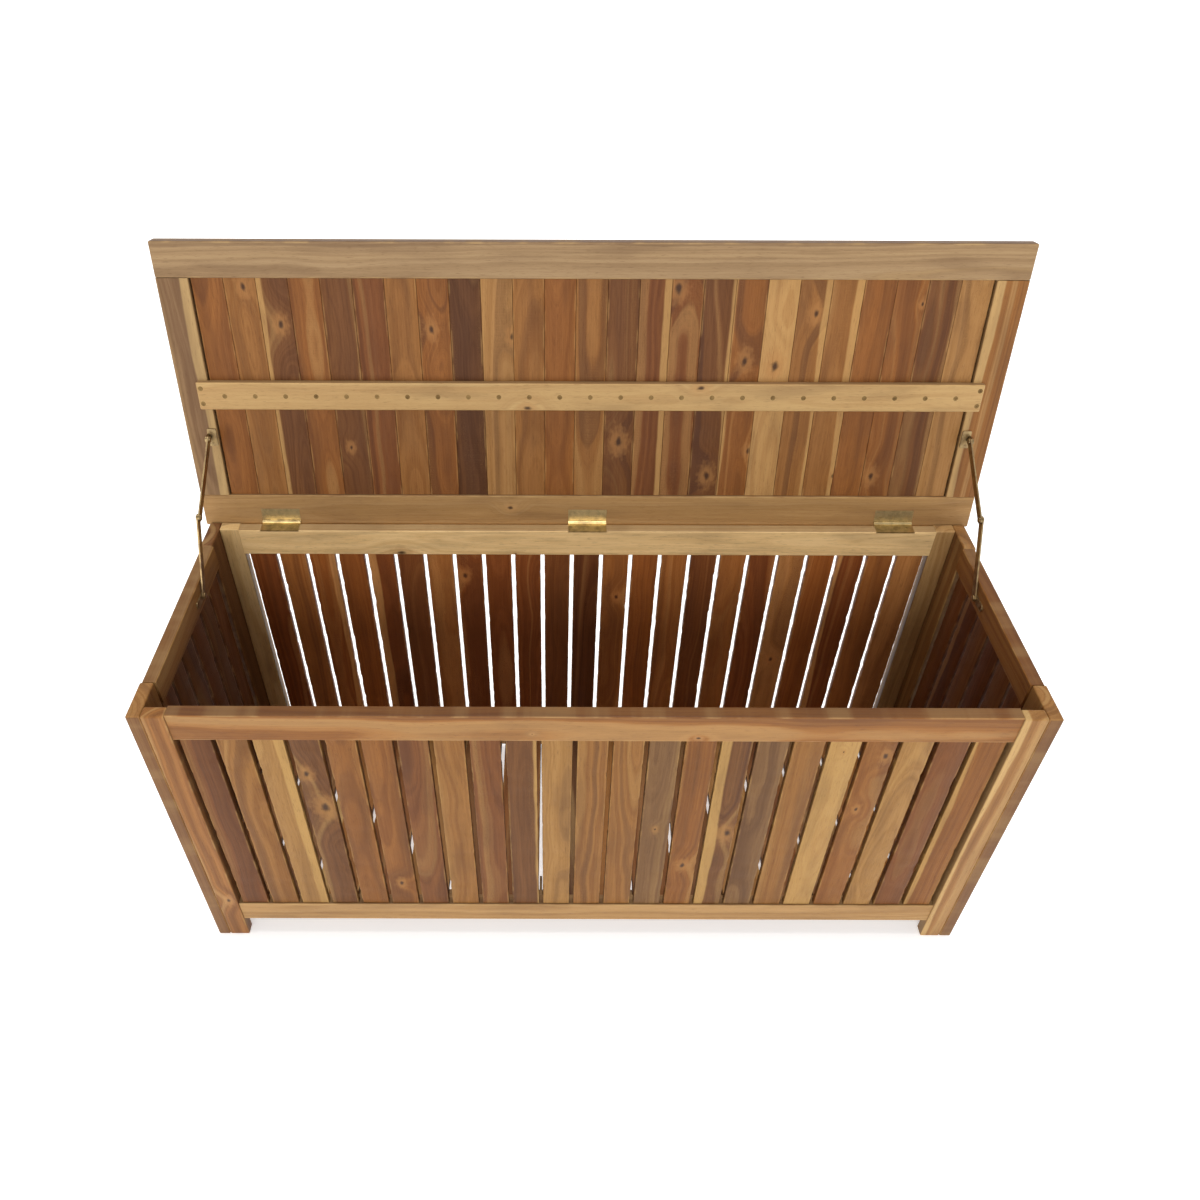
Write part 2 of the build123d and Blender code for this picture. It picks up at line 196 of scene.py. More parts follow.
class Grain(Enum):
    """Which way a board runs: its length, its width and its thickness as coordinate letters."""

    UPRIGHT_FACING_FRONT = "ZXY"
    UPRIGHT_FACING_SIDE = "ZYX"
    LENGTHWISE_ON_EDGE = "XZY"
    LENGTHWISE_FLAT = "XYZ"
    CROSSWISE_ON_EDGE = "YZX"
    CROSSWISE_FLAT = "YXZ"


class Tone(Enum):
    """A board's own colour as its early wood and its late wood."""

    SAP = ((0.530, 0.345, 0.145), (0.425, 0.250, 0.098))
    CREAM = ((0.690, 0.470, 0.215), (0.560, 0.350, 0.140))
    WHEAT = ((0.860, 0.600, 0.290), (0.700, 0.450, 0.190))
    PALE = ((0.430, 0.250, 0.098), (0.325, 0.175, 0.060))
    TAN = ((0.345, 0.172, 0.055), (0.245, 0.108, 0.030))
    ORANGE = ((0.315, 0.135, 0.036), (0.215, 0.082, 0.020))
    RED = ((0.240, 0.095, 0.030), (0.155, 0.054, 0.015))
    BROWN = ((0.205, 0.090, 0.031), (0.125, 0.050, 0.016))
    GREY = ((0.250, 0.143, 0.068), (0.172, 0.090, 0.040))
    DARK = ((0.140, 0.060, 0.022), (0.078, 0.030, 0.010))
    ASH = ((0.370, 0.242, 0.122), (0.280, 0.172, 0.082))


SAPWOOD: Colour = (0.560, 0.365, 0.150)
HEARTWOOD: Colour = (0.085, 0.034, 0.016)
KNOT: Colour = (0.040, 0.018, 0.010)
HALO: Colour = (0.450, 0.235, 0.085)
WHITE: Colour = (1.0, 1.0, 1.0)
NO_STRIP = -0.03


@dataclass(frozen=True)
class Knot:
    """A knot: its place from the board's middle as shares of length and width, and its radius in metres."""

    along: float = 9.0
    across: float = 0.0
    radius: float = 0.0001


@dataclass(frozen=True)
class Board:
    """How one board looks: its tone, how strong its dark streaks are, sapwood strips in metres and knots.

    The wave is how far the grain wanders: 1 for a lively board and less for a straight one.
    """

    tone: Tone
    heart: float = 0.35
    sap: tuple[float, float] = (NO_STRIP, NO_STRIP)
    knots: tuple[Knot, ...] = ()
    wave: float = 1.0

    def knot(self, number: int) -> Knot:
        """The knot with this number, or one too far off and too small to see."""
        return self.knots[number] if number < len(self.knots) else Knot()


@dataclass
class Facts:
    """What the wood shader needs to know of the board that a point lies on."""

    along: Value
    across: Value
    deep: Value
    half_width: Term
    seed: Term
    early: Union[Value, Colour]
    late: Union[Value, Colour]
    heart: Term
    sap: tuple[Term, Term]
    knots: tuple[tuple[Term, Term, Term], ...]
    wave: Term


class Attribute(Enum):
    """The vectors that a board made here keeps at each of its points."""

    PLACE = "board_place"
    EARLY = "board_early"
    LATE = "board_late"
    SAWING = "board_sawing"
    SIZE = "board_size"
    KNOT_A = "board_knot_a"
    KNOT_B = "board_knot_b"


def facts_from_attributes(shader: Shader) -> Facts:
    """Read a board's facts from the attributes of the piece."""
    vectors = {
        name: shader.node("ShaderNodeAttribute", {"attribute_name": name.value}, None, out="Vector")
        for name in Attribute
    }
    along, across, deep = vectors[Attribute.PLACE].parts()
    sap_left, sap_right, heart = vectors[Attribute.SAWING].parts()
    half_width, seed, wave = vectors[Attribute.SIZE].parts()
    knots = tuple(vectors[name].parts() for name in (Attribute.KNOT_A, Attribute.KNOT_B))
    return Facts(along, across, deep, half_width, seed, vectors[Attribute.EARLY], vectors[Attribute.LATE],
                 heart, (sap_left, sap_right), knots, wave)


@dataclass(frozen=True)
class Lie:
    """Where one board lies: its grain, the corners of its box and whether it is on the lid."""

    grain: Grain
    low: Vector
    high: Vector
    on_lid: bool = False

    def axes(self) -> tuple[int, int, int]:
        """The coordinate numbers of the board's length, width and thickness."""
        along, across, deep = ("XYZ".index(letter) for letter in self.grain.value)
        return along, across, deep

    def sizes(self) -> tuple[float, float, float]:
        """The board's length, width and thickness."""
        along, across, deep = (self.high[axis] - self.low[axis] for axis in self.axes())
        return along, across, deep


def facts_from_lie(shader: Shader, board: Board, lie: Lie, seed: float) -> Facts:
    """Work a carried-over board's facts out from the object's own coordinates."""
    at = shader.node("ShaderNodeTexCoord", None, None, out="Object")
    if lie.on_lid:
        pivot, angle = lid_turn()
        at = shader.node("ShaderNodeVectorMath", {"operation": "SUBTRACT"}, {0: at, 1: pivot})
        turn = {"Vector": at, "Rotation": (angle, 0.0, 0.0)}
        at = shader.node("ShaderNodeMapping", {"vector_type": "POINT"}, turn)
        at = shader.node("ShaderNodeVectorMath", {"operation": "ADD"}, {0: at, 1: pivot})
    middle = (lie.low + lie.high) / 2
    at = shader.node("ShaderNodeVectorMath", {"operation": "SUBTRACT"}, {0: at, 1: middle})
    parts = at.parts()
    along, across, deep = (parts[axis] for axis in lie.axes())
    length, width, _ = lie.sizes()
    knots = tuple((knot.along * length, knot.across * width, knot.radius) for knot in board.knots)
    early, late = board.tone.value
    return Facts(along, across, deep, width / 2, seed, early, late, board.heart, board.sap, knots, board.wave)


@dataclass(frozen=True)
class Waves:
    """How closely a pattern repeats, in waves per metre along the grain and across it."""

    along: float
    across: float

    def place(self, shader: Shader, facts: Facts) -> Value:
        """Where a point lies in the pattern, counted in waves."""
        return shader.vector(facts.along * self.along + facts.seed, facts.across * self.across,
                             facts.deep * self.across)

    def flat_place(self, shader: Shader, facts: Facts) -> Value:
        """Where a point lies in a pattern that is the same all through the board's thickness."""
        return shader.vector(facts.along * self.along, facts.across * self.across, facts.seed)


@dataclass(frozen=True)
class Rings:
    """How the growth rings run. Lengths are in metres and waves are per metre along the grain.

    The pith that they surround lies under the board, by below and up to below_spread more, and up to half of
    sideways to either side. It drifts, rises and leans along the board.
    """

    per_metre: float = 210.0
    broad_share: float = 0.30
    sideways: float = 0.055
    below: float = 0.012
    below_spread: float = 0.030
    drift: float = 0.030
    drift_waves: float = 1.9
    rise: float = 0.060
    rise_waves: float = 2.6
    lean: float = 0.08
    ripple: float = 0.9
    seed_turns: float = 1.7


@dataclass(frozen=True)
class WoodFinish:
    """Oiled acacia: growth rings round a leaning pith, fibres, pores, sapwood, dark streaks and knots.

    The fields that end in show say how strongly each mark covers the colour under it. Those that end in edge
    say where it begins and where it is complete: in metres, or for a knot as shares of its radius.
    """

    name: str
    roughness: float = 0.46
    tint: Colour = WHITE
    gloss: float = 0.16
    fibres: Waves = Waves(9.0, 420.0)
    flecks: Waves = Waves(70.0, 1500.0)
    ripples: Waves = Waves(9.0, 50.0)
    clouds: Waves = Waves(7.0, 40.0)
    # patches that break up the painted edge highlight
    highlight_patches: Waves = Waves(30.0, 60.0)
    knot_rags: Waves = Waves(130.0, 190.0)
    rings: Rings = Rings()
    ring_show: float = 0.70
    fibre_show: float = 0.45
    pale_show: float = 0.30
    cloud_show: float = 0.28
    halo_show: float = 0.50
    core_show: float = 0.90
    pore_show: float = 0.38
    # how strongly the painted edge highlight covers the wood
    highlight_show: float = 0.35
    # how strongly the painted joint shade covers the wood
    joint_shade_show: float = 0.55
    sap_waves: float = 3.5
    sap_wander: float = 0.020
    sap_edge: tuple[float, float] = (-0.0015, 0.0015)
    # where the painted joint shade begins and ends, in metres from the long edge
    joint_shade_edge: tuple[float, float] = (0.0001, 0.0008)
    # where the painted edge highlight begins and ends, in metres from the long edge
    highlight_edge: tuple[float, float] = (0.0012, 0.0030)
    core_edge: tuple[float, float] = (0.20, 0.95)
    halo_edge: tuple[float, float] = (0.8, 3.0)
    knot_squash: float = 0.6
    knot_reach: float = 6.0
    knot_push: float = 2.0
    relief: float = 0.0006

    def material(self, facts_of: Callable[[Shader], Facts]) -> bpy.types.Material:
        """Build the material.

        Args:
            facts_of: what reads a board's facts in this material's own tree.

        Returns:
            The finished material.
        """
        shader = Shader.named(self.name)
        facts = facts_of(shader)
        core, halo, push = self._knots(shader, facts)
        lines, broad = self._rings(shader, facts, push)
        fibre = shader.noise(self.fibres.place(shader, facts), 4.0, 0.7)
        pores = shader.noise(self.flecks.place(shader, facts), 2.0).rise(0.60, 0.70)

        shade = lines.rise(0.30, 0.70) * self.ring_show + fibre.rise(0.30, 0.72) * self.fibre_show
        colour = shader.blend(shade, facts.early, facts.late)
        colour = shader.blend(broad.rise(0.52, 0.66) * facts.heart, colour, HEARTWOOD)
        pale = (1.0 - broad).rise(0.56, 0.74) * self.pale_show
        colour = shader.blend(pale, colour, SAPWOOD)
        strip = self._sapwood(shader, facts) * (0.85 - lines * 0.35)
        colour = shader.blend(strip, colour, SAPWOOD)
        cloud = shader.noise(self.clouds.flat_place(shader, facts), 2.0)
        colour = shader.blend(cloud.rise(0.45, 0.75) * self.cloud_show, colour, HEARTWOOD)
        colour = shader.blend(halo * self.halo_show, colour, HALO)
        colour = shader.blend(core * self.core_show, colour, KNOT)
        colour = shader.blend(pores * self.pore_show, colour, HEARTWOOD)
        # painted highlight: the long edges turn pale in patches
        edge_highlight = self._painted_edge_highlight(shader, facts)
        colour = shader.blend(edge_highlight * self.highlight_show, colour, SAPWOOD)
        # painted shade: the colour darkens towards each long edge, in the joints and on the faces inside the
        # gaps
        colour = shader.blend(self._painted_joint_shade(facts) * self.joint_shade_show, colour, HEARTWOOD)
        if self.tint != WHITE:
            colour = shader.blend(1.0, colour, self.tint, "MULTIPLY")

        height = fibre * 0.5 + lines * 0.25 - pores * 0.6 - core * 0.5
        rough = fibre * 0.16 + (self.roughness - 0.08) + pores * 0.10 + edge_highlight * 0.06 - core * 0.06
        return shader.surface(Base_Color=colour, Roughness=rough, Specular_IOR_Level=self.gloss,
                              Normal=shader.bump(height, 0.35, self.relief))

    def _rings(self, shader: Shader, facts: Facts, push: Term) -> tuple[Value, Value]:
        """Fine and broad stripes that follow the rings: straight at the edges, arched in the middle."""
        chance = shader.node("ShaderNodeTexWhiteNoise", {"noise_dimensions": "1D"}, {"W": facts.seed},
                             out="Color")
        side, depth, lean = chance.parts()
        rings = self.rings
        drift = shader.noise(shader.vector(facts.along * rings.drift_waves, facts.seed, 3.0), 2.0) - 0.5
        rise = shader.noise(shader.vector(facts.seed, facts.along * rings.rise_waves, 9.0), 2.0) - 0.5
        across = facts.across + drift * facts.wave * rings.drift + (side - 0.5) * rings.sideways
        slope = facts.along * (lean - 0.5) * facts.wave * rings.lean
        deep = facts.deep + rise * facts.wave * rings.rise + depth * rings.below_spread + rings.below + slope
        radius = shader.vector(across, deep, 0.0).length() + push
        ripple = shader.noise(self.ripples.place(shader, facts), 2.0)
        turns = radius * rings.per_metre + ripple * rings.ripple + facts.seed * rings.seed_turns
        broad = turns * rings.broad_share + 40.0
        return shader.stripes(turns, 4.0, 0.62), shader.stripes(broad, 2.0, 0.5)

    def _sapwood(self, shader: Shader, facts: Facts) -> Value:
        """One in the pale strip at either edge of the board."""
        bends = shader.noise(shader.vector(facts.along * self.sap_waves, facts.seed, 0.0), 3.0)
        wander = (bends - 0.5) * self.sap_wander
        left = facts.across + facts.half_width + wander - facts.sap[0]
        right = facts.half_width - facts.across + wander - facts.sap[1]
        return 2.0 - left.rise(*self.sap_edge) - right.rise(*self.sap_edge)

    def _painted_joint_shade(self, facts: Facts) -> Value:
        """Painted shade: the board darkens towards its long edges, in the joint or gap beside it."""
        return 1.0 - (facts.half_width - facts.across.size()).rise(*self.joint_shade_edge)

    def _painted_edge_highlight(self, shader: Shader, facts: Facts) -> Value:
        """Painted highlight: pale patches along the long edges, where light would catch the eased arris."""
        highlight_breakup = shader.noise(self.highlight_patches.flat_place(shader, facts), 3.0)
        margin = facts.half_width - facts.across.size()
        return (1.0 - margin.rise(*self.highlight_edge)) * highlight_breakup.rise(0.42, 0.66)

    def _knots(self, shader: Shader, facts: Facts) -> tuple[Term, Term, Term]:
        """The dark cores, the golden halos, and how far the knots push the rings aside."""
        core: Term = 0.0
        halo: Term = 0.0
        push: Term = 0.0
        if not facts.knots:
            return core, halo, push
        ragged = shader.noise(self.knot_rags.flat_place(shader, facts), 3.0)
        for place, offset, radius in facts.knots:
            along = (facts.along - place) * self.knot_squash
            reach = shader.vector(along, facts.across - offset, 0.0).length()
            ratio = reach * (ragged * 1.6 + 0.4) / radius
            core = core + (1.0 - ratio.rise(*self.core_edge))
            halo = halo + (1.0 - ratio.rise(*self.halo_edge))
            push = push + (1.0 - (reach / radius).rise(0.0, self.knot_reach)) * radius * self.knot_push
        return core, halo, push


@dataclass(frozen=True)
class MetalFinish:
    """Brass or bronze with fine scratches and a dull film in patches."""

    name: str
    bright: Colour
    dull: Colour
    roughness: float
    film: float
    patches: float = 90.0
    scratches: tuple[float, float, float] = (300.0, 2500.0, 2500.0)

    def material(self) -> bpy.types.Material:
        """Build the material."""
        shader = Shader.named(self.name)
        at = shader.node("ShaderNodeTexCoord", None, None, out="Object")
        wide = shader.node("ShaderNodeVectorMath", {"operation": "SCALE"}, {0: at, "Scale": self.patches})
        fine = shader.node("ShaderNodeVectorMath", {"operation": "MULTIPLY"}, {0: at, 1: self.scratches})
        patch = shader.noise(wide, 4.0, 0.6)
        scratch = shader.noise(fine, 2.0, 0.5)
        colour = shader.blend(patch.rise(0.35, 0.75) * self.film, self.bright, self.dull)
        rough = patch * 0.18 + scratch * 0.12 + (self.roughness - 0.14)
        return shader.surface(Base_Color=colour, Metallic=1.0, Roughness=rough,
                              Normal=shader.bump(scratch, 0.12, 0.0002))


def dress(node: str, material: bpy.types.Material) -> None:
    """Give a carried-over node one material on every slot."""
    mesh_object = frame["nodes"][node]
    if not mesh_object.material_slots:
        mesh_object.data.materials.append(material)
    for slot in mesh_object.material_slots:
        slot.material = material
    LOG.info("%s wears %s", node, material.name)


# ---------------------------------------------------------------- the box's own places

LID_OPEN_ANGLE = math.radians(100.0)


def lid_turn() -> tuple[Vector, float]:
    """The point that the lid turns about and the angle that closes it."""
    joint = next(joint for joint in frame["joints"] if joint["name"] == "lid_hinge")
    return Vector(joint["pos_m"]), LID_OPEN_ANGLE


def closing() -> Matrix:
    """The turn that lays the open lid flat on the box."""
    pivot, angle = lid_turn()
    return Matrix.Translation(pivot) @ Matrix.Rotation(angle, 4, "X") @ Matrix.Translation(-pivot)


def lie_of(node: str, grain: Grain, on_lid: bool = False) -> Lie:
    """Where a node lies, with a lid node taken as if the lid were closed."""
    if not on_lid:
        low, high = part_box(node)
        return Lie(grain, low, high)
    turn = closing()
    points = [turn @ vertex.co for vertex in frame["nodes"][node].data.vertices]
    low = Vector(map(min, zip(*points)))
    high = Vector(map(max, zip(*points)))
    return Lie(grain, low, high, True)


def boards(letters: str, marks: dict[int, dict]) -> list[Board]:
    """A row of boards.

    Args:
        letters: the first letter of each board's tone: Sap, Cream, Wheat, Pale, Tan,
            Orange, Red, Brown, Grey, Dark, Ash.
        marks: for the boards that stand out, their number in the row and their other fields.

    Returns:
        The boards in order.
    """
    by_letter = {tone.name[0]: tone for tone in Tone}
    return [Board(by_letter[letter], **marks.get(i, {})) for i, letter in enumerate(letters)]


MIRRORED = ((0, 2, 1), (1, 0, 2), (2, 1, 0))
SMOOTH_ANGLE = math.radians(40.0)
BOARD_SEED_STEP = 3.17
NICKS_PER_METRE = 70.0
RUBS_PER_METRE = 14.0
NICK_THRESHOLD = 0.12
NICK_GAIN = 2.2
RUB_GAIN = 0.12
FACE_SHARE = 0.6
END_FADE = 6.0


@dataclass
class BoardRow:
    """A row of equal boards built as one piece, with softened edges, small nicks and a slight bow."""

    node: str
    body: str
    slot: str
    row: list[Board]
    lie: Lie
    gap: float
    ease: float
    bow: float = 0.0
    nick: float = 0.0009
    seed: float = 0.0
    step: float = 0.008
    tongue: float = 0.0

    def build(self, finish: WoodFinish) -> bpy.types.Object:
        """Build the piece in place of its CAD node.

        Args:
            finish: the wood that it is made of.

        Returns:
            The finished piece.
        """
        points: list[Vector] = []
        faces: list[list[int]] = []
        values: dict[Attribute, list[float]] = {name: [] for name in Attribute}
        length, row_width, thickness = self.lie.sizes()
        width = (row_width - self.gap * (len(self.row) - 1)) / len(self.row)
        for number, board in enumerate(self.row):
            offset = (width - row_width) / 2 + number * (width + self.gap)
            seed = self.seed + number * BOARD_SEED_STEP
            blank = self._blank(length, width, thickness, seed)
            self._add(blank, offset, board, (length, width, seed), points, faces, values)
        ends = ((-1, self.row[0]), (1, self.row[-1])) if self.tongue else ()
        for side, board in ends:
            offset = side * (row_width + self.tongue) / 2
            blank = self._blank(length, self.tongue, thickness / 3, self.seed)
            self._add(blank, offset, board, (length, self.tongue, self.seed), points, faces, values)
        mesh = bpy.data.meshes.new(f"{self.node}_boards")
        mesh.from_pydata(points, [], faces)
        for name, numbers in values.items():
            mesh.attributes.new(name.value, "FLOAT_VECTOR", "POINT").data.foreach_set("vector", numbers)
        mesh.materials.append(finish.material(facts_from_attributes))
        mesh.polygons.foreach_set("use_smooth", [True] * len(mesh.polygons))
        mesh.set_sharp_from_angle(angle=SMOOTH_ANGLE)
        piece = bpy.data.objects.new(f"{self.node}_boards", mesh)
        bpy.context.collection.objects.link(piece)
        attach(piece, self.body)
        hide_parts(self.node)
        LOG.info("%s: %d boards, %d faces", piece.name, len(self.row), len(faces))
        return piece

    def _add(self, blank: bmesh.types.BMesh, offset: float, board: Board,
             sizes: tuple[float, float, float], points: list[Vector], faces: list[list[int]],
             values: dict[Attribute, list[float]]) -> None:
        """Add one board to the row.

        Args:
            blank: the board about the origin. It is freed here.
            offset: how far across the row its middle lies.
            board: how it looks.
            sizes: its length, its width and its seed.
            points, faces, values: the row's own, which grow.
        """
        along, across, deep = self.lie.axes()
        middle = (self.lie.low + self.lie.high) / 2
        middle[across] += offset
        turn = closing().inverted() if self.lie.on_lid else Matrix.Identity(4)
        first = len(points)
        for vertex in blank.verts:
            place = middle.copy()
            place[along] += vertex.co.x
            place[across] += vertex.co.y
            place[deep] += vertex.co.z
            points.append(turn @ place)
            values[Attribute.PLACE].extend(vertex.co)
        mirrored = (along, across, deep) in MIRRORED
        for face in blank.faces:
            corners = [first + vertex.index for vertex in face.verts]
            faces.append(corners[::-1] if mirrored else corners)
        count = len(blank.verts)
        blank.free()
        length, width, seed = sizes
        early, late = board.tone.value
        values[Attribute.EARLY] += early * count
        values[Attribute.LATE] += late * count
        values[Attribute.SAWING] += (*board.sap, board.heart) * count
        values[Attribute.SIZE] += (width / 2, seed, board.wave) * count
        for name, knot in ((Attribute.KNOT_A, board.knot(0)), (Attribute.KNOT_B, board.knot(1))):
            values[name] += (knot.along * length, knot.across * width, knot.radius) * count

    def _blank(self, length: float, width: float, thickness: float, seed: float) -> bmesh.types.BMesh:
        """One board about the origin, its length along X and its width along Y."""
        mesh = bmesh.new()
        size = Matrix.Diagonal((length, width, thickness, 1.0))
        bmesh.ops.create_cube(mesh, size=1.0, matrix=size)
        runs = [edge for edge in mesh.edges if abs(edge.verts[0].co.x - edge.verts[1].co.x) > length / 2]
        bmesh.ops.bevel(mesh, geom=runs, offset=self.ease, offset_type="OFFSET", segments=2, profile=0.5,
                        affect="EDGES", material=-1)
        count = round(length / self.step)
        for i in range(1, count):
            geom = mesh.verts[:] + mesh.edges[:] + mesh.faces[:]
            bmesh.ops.bisect_plane(mesh, geom=geom, plane_co=(length * (i / count - 0.5), 0.0, 0.0),
                                   plane_no=(1.0, 0.0, 0.0))
        for vertex in mesh.verts:
            self._weather(vertex, length, width, thickness, seed)
        mesh.verts.index_update()
        return mesh

    def _weather(self, vertex: bmesh.types.BMVert, length: float, width: float, thickness: float,
                 seed: float) -> None:
        """Nick the long edges and bow the board between its ends."""
        at = vertex.co
        side = 1.0 if at.y > 0 else -1.0
        face = 1.0 if at.z > 0 else -1.0
        ragged = noise.noise(Vector((at.x * NICKS_PER_METRE, side * 5.0 + face * 9.0, seed)))
        rubbed = 1.0 + noise.noise(Vector((at.x * RUBS_PER_METRE, side, seed)))
        deep_nick = max(0.0, ragged - NICK_THRESHOLD) * NICK_GAIN + RUB_GAIN * rubbed
        corner = min(1.0, 2.0 * self.ease / (width / 2 - abs(at.y) + thickness / 2 - abs(at.z) + self.ease))
        inside = 1.0 - (2.0 * at.x / length) ** 2
        cut = self.nick * deep_nick * corner * min(1.0, END_FADE * inside)
        if self.gap > self.ease or abs(at.y) < width / 2 - self.ease / 4:
            vertex.co.y -= side * cut
        vertex.co.z -= face * cut * FACE_SHARE
        vertex.co.z += self.bow * inside * noise.noise(Vector((seed, 1.5, 2.5)))


@dataclass
class BodyFrame:
    """The corner posts and the rails that join them."""

    uprights: dict[str, Board] = field(default_factory=lambda: {
        "front_left_stile": Board(Tone.ORANGE, 0.25, knots=(Knot(-0.31, 0.1, 0.005),), wave=0.5),
        "left_front_stile": Board(Tone.TAN, 0.25, wave=0.2),
        "front_right_stile": Board(Tone.TAN, 0.45, (0.006, NO_STRIP), wave=0.4),
        "right_front_stile": Board(Tone.TAN, 0.30, wave=0.2),
        # the back left post's pale tone is painted light: it is paler than its wood, to stand for the light
        # that falls on it
        "back_left_stile": Board(Tone.CREAM, 0.35, wave=0.4),
        "left_back_stile": Board(Tone.BROWN, 0.4, wave=0.3),
        "back_right_stile": Board(Tone.PALE, 0.4, wave=0.4),
        "right_back_stile": Board(Tone.TAN, 0.3, wave=0.3),
    })
    rails: dict[str, Board] = field(default_factory=lambda: {
        "front_top_rail": Board(Tone.ORANGE, 0.25,
                                knots=(Knot(0.12, -0.35, 0.003), Knot(-0.07, -0.2, 0.0015)), wave=0.5),
        "front_bottom_rail": Board(Tone.PALE, 0.45, wave=0.3),
        "back_top_rail": Board(Tone.WHEAT, 0.12, knots=(Knot(-0.26, -0.42, 0.007), Knot(-0.1, -0.45, 0.002)),
                               wave=0.35),
        "back_bottom_rail": Board(Tone.TAN, 0.3, wave=0.3),
        "left_top_rail": Board(Tone.TAN, 0.35, wave=0.4),
        "left_bottom_rail": Board(Tone.RED, 0.4, wave=0.4),
        "right_top_rail": Board(Tone.ORANGE, 0.35, wave=0.4),
        "right_bottom_rail": Board(Tone.TAN, 0.35, wave=0.4),
    })

    def build(self) -> None:
        """Give each board its own oiled finish."""
        for count, (node, board) in enumerate({**self.uprights, **self.rails}.items()):
            on_long_side = node.startswith(("front", "back"))
            if node.endswith("stile"):
                grain = Grain.UPRIGHT_FACING_FRONT if on_long_side else Grain.UPRIGHT_FACING_SIDE
            else:
                grain = Grain.LENGTHWISE_ON_EDGE if on_long_side else Grain.CROSSWISE_ON_EDGE
            dress_board(node, board, lie_of(node, grain), 11.3 * count + 4.0)


def dress_board(node: str, board: Board, lie: Lie, seed: float) -> None:
    """Give one carried-over board its own wood."""
    finish = WoodFinish(f"{node}_wood")
    dress(node, finish.material(lambda shader: facts_from_lie(shader, board, lie, seed)))


@dataclass
class SlatRows:
    """The upright slats of the four sides."""

    gap: float = 0.0058
    ease: float = 0.0012
    bow: float = 0.0006
    front: list[Board] = field(default_factory=lambda: boards("RTPBOORTRBPTTGOBGTSOPRO", {
        0: {"heart": 0.45}, 2: {"sap": (NO_STRIP, 0.013)},
        3: {"heart": 0.85, "knots": (Knot(0.12, 0.15, 0.010), Knot(0.30, -0.2, 0.006))},
        5: {"knots": (Knot(-0.34, -0.02, 0.005),)}, 8: {"heart": 0.5},
        9: {"heart": 0.7, "sap": (NO_STRIP, 0.004)},
        11: {"heart": 0.5}, 13: {"heart": 0.3, "knots": (Knot(0.0, 0.0, 0.003),)},
        14: {"knots": (Knot(-0.22, 0.0, 0.006),)},
        15: {"heart": 0.6, "sap": (0.014, NO_STRIP), "knots": (Knot(-0.02, 0.25, 0.008),)},
        16: {"heart": 0.5}, 17: {"heart": 0.75}, 18: {"heart": 0.1, "knots": (Knot(0.42, 0.0, 0.002),)},
        19: {"knots": (Knot(0.40, 0.25, 0.0055), Knot(0.12, -0.12, 0.004))},
        22: {"sap": (0.006, NO_STRIP)},
    }))
    back: list[Board] = field(default_factory=lambda: boards("RTOORBTRRRBDTOTBTRPORTP", {
        1: {"heart": 0.6}, 2: {"sap": (NO_STRIP, 0.010)}, 4: {"sap": (0.012, NO_STRIP), "heart": 0.7},
        7: {"knots": (Knot(0.36, -0.2, 0.006),)}, 12: {"knots": (Knot(0.25, 0.1, 0.005),)},
        16: {"heart": 0.7}, 18: {"knots": (Knot(-0.1, 0.0, 0.005),)}, 20: {"sap": (0.009, NO_STRIP)},
    }))
    left: list[Board] = field(default_factory=lambda: boards("RBBRBR", {2: {"heart": 0.6}}))
    right: list[Board] = field(default_factory=lambda: boards("OTRTRO", {
        2: {"knots": (Knot(0.1, 0.1, 0.005),)}, 4: {"sap": (NO_STRIP, 0.010)},
    }))
    # per side multipliers on the slat colour: the left and right ones darken their slats as painted shade for
    # the shaded insides of those walls, the back one brightens its slats as painted light on the inside of
    # the back wall, and the front one deepens the front slats' tone
    tints_with_painted_light_and_shade: dict[str, Colour] = field(default_factory=lambda: {
        "front": (0.79, 0.71, 0.54), "back": (1.30, 0.96, 0.76), "left": (0.85, 0.80, 0.85),
        "right": (0.65, 0.50, 0.48),
    })

    def build(self) -> None:
        """Build the four rows in place of the plain ones."""
        rows = {"front": self.front, "back": self.back, "left": self.left, "right": self.right}
        for count, (side, row) in enumerate(rows.items()):
            facing_front = side in ("front", "back")
            grain = Grain.UPRIGHT_FACING_FRONT if facing_front else Grain.UPRIGHT_FACING_SIDE
            node = f"{side}_slats"
            slats = BoardRow(node, "box", "slat_wood", row, lie_of(node, grain), self.gap, self.ease,
                             self.bow, seed=37.0 * count + 1.0)
            slats.build(WoodFinish(f"{side}_slat_wood", tint=self.tints_with_painted_light_and_shade[side]))


@dataclass
class BoxFloor:
    """The floor boards and the cleats that they rest on."""

    gap: float = 0.006
    ease: float = 0.0015
    row: list[Board] = field(default_factory=lambda: boards("RBORTBRDORBTRBOR", {
        2: {"sap": (0.015, NO_STRIP)}, 5: {"knots": (Knot(0.2, 0.1, 0.008),)},
        9: {"heart": 0.6}, 12: {"knots": (Knot(-0.25, -0.2, 0.007),)},
    }))

    def build(self) -> None:
        """Build the boards in place of the plain ones and finish the cleats."""
        lie = lie_of("floor_boards", Grain.CROSSWISE_FLAT)
        floor = BoardRow("floor_boards", "box", "slat_wood", self.row, lie, self.gap, self.ease, seed=71.0)
        floor.build(WoodFinish("floor_board_wood"))
        for count, node in enumerate(("front_cleat", "back_cleat")):
            dress_board(node, Board(Tone.PALE), lie_of(node, Grain.LENGTHWISE_ON_EDGE), 83.0 + count)


